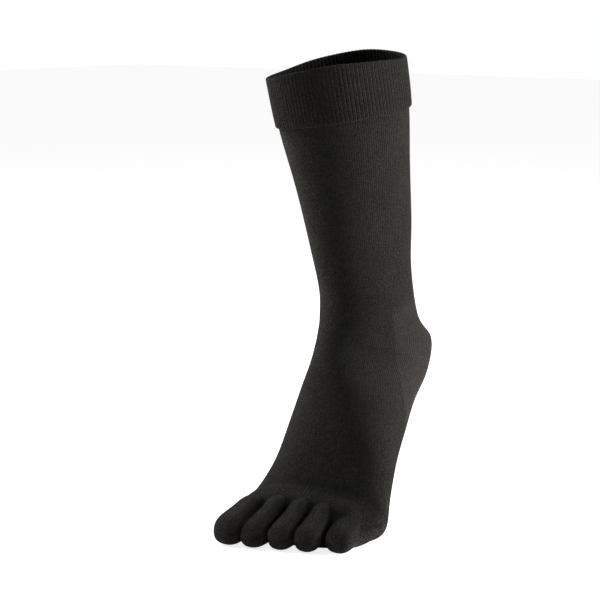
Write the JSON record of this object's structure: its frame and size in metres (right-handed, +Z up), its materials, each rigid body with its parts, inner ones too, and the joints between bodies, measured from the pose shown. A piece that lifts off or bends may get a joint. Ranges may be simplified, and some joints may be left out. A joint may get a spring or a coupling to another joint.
{
  "type": "toe sock",
  "caption": "Mid-calf toe sock in black knit, worn form of a left foot on tiptoe: ribbed cuff, leg, heel cup, foot and a separate pocket for each toe, hollow and open at the top",
  "frame": {"origin": "The middle of the cuff's mouth, where the leg goes in and the sock is held up.", "axes": "+Z up, along the worn sock's greatest extent. -Y is the way that the toes point. +X is the outer side of the left foot. The leg leans towards -Y at the top, and the heel is lifted."},
  "size_m": [0.1, 0.1763, 0.3271],
  "materials": {
    "body_knit": "fine plain knit, matt",
    "welt_knit": "fine ribbed knit, double, matt",
    "heel_knit": "fine plain knit, slightly denser, matt"
  },
  "bodies": {
    "root": {"cuff": "welt_knit", "leg": "body_knit", "heel_pocket": "heel_knit", "foot": "body_knit", "toe_pocket_big": "body_knit", "toe_pocket_second": "body_knit", "toe_pocket_third": "body_knit", "toe_pocket_fourth": "body_knit", "toe_pocket_little": "body_knit"}
  },
  "joints": []
}
